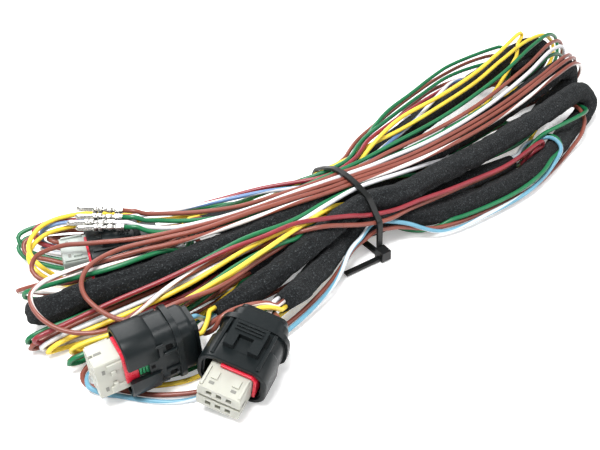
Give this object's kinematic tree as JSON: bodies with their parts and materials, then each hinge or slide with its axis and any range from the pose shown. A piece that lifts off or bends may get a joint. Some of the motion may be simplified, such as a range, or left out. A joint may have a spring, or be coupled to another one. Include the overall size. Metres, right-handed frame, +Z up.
{
  "type": "wiring harness",
  "caption": "Vehicle wiring harness wound into a hank: taped runs and loose wires held by a cable tie, with sealed plug connectors and crimped terminals.",
  "frame": {"origin": "on the table, in the middle of the cable tie's strap where it is flat under the hank", "axes": "+X along the hank, from the connectors towards the far bends; +Y across it, from the near taped runs towards the far one; +Z up"},
  "size_m": [0.3378, 0.1473, 0.0325],
  "materials": {
    "blue": "semi gloss wire insulation",
    "brown": "semi gloss wire insulation",
    "brown_white": "semi gloss wire insulation with a tracer stripe",
    "carrier": "satin moulded plastic, slightly milky",
    "carrier_grey": "satin moulded plastic, milky grey",
    "fleece": "rough fleece tape",
    "green": "semi gloss wire insulation",
    "housing": "satin moulded plastic",
    "lock": "semi gloss moulded plastic",
    "mat": "satin rubber",
    "metal": "tin plated",
    "seal": "satin rubber",
    "tie": "satin moulded plastic",
    "white": "semi gloss wire insulation",
    "white_blue": "semi gloss wire insulation with a tracer stripe",
    "yellow": "semi gloss wire insulation"
  },
  "bodies": {
    "root": {"cable_tie": "tie", "connector_1_carrier": "carrier", "connector_1_housing": "housing", "connector_1_lock": "lock", "connector_1_rear_cover": "housing", "connector_1_seal_ring": "seal", "connector_1_wire_seal": "mat", "connector_2_carrier": "carrier", "connector_2_housing": "housing", "connector_2_lock": "lock", "connector_2_rear_cover": "housing", "connector_2_seal_ring": "seal", "connector_2_wire_seal": "mat", "connector_3_carrier": "carrier_grey", "connector_3_housing": "housing", "connector_3_lock": "lock", "connector_3_seal_ring": "seal", "connector_3_wire_seal": "mat", "pin_terminal_1": "metal", "pin_terminal_2": "metal", "pin_terminal_3": "metal", "pin_terminal_4": "metal", "trunk_far": "fleece", "trunk_low": "fleece", "trunk_main": "fleece", "trunk_near": "fleece", "wire_connector_1_1": "brown", "wire_connector_1_2": "blue", "wire_connector_1_3": "yellow", "wire_connector_2_1": "yellow", "wire_connector_2_2": "brown", "wire_connector_2_3": "white", "wire_fan_brown": "brown", "wire_fan_brown_2": "brown", "wire_fan_green": "green", "wire_fan_white": "white", "wire_fan_yellow": "yellow", "wire_fan_yellow_2": "yellow", "wire_far_brown": "brown", "wire_far_green": "green", "wire_far_white": "white_blue", "wire_far_yellow": "yellow", "wire_loop_brown_big": "brown", "wire_loop_brown_top": "brown", "wire_loop_brown_white": "brown_white", "wire_low_blue": "blue", "wire_low_brown": "brown", "wire_low_green": "green", "wire_low_yellow": "yellow", "wire_pin_brown": "brown", "wire_pin_green": "green", "wire_pin_green_2": "green", "wire_pin_white": "white", "wire_small_brown": "brown_white", "wire_small_green": "green"}
  },
  "joints": []
}
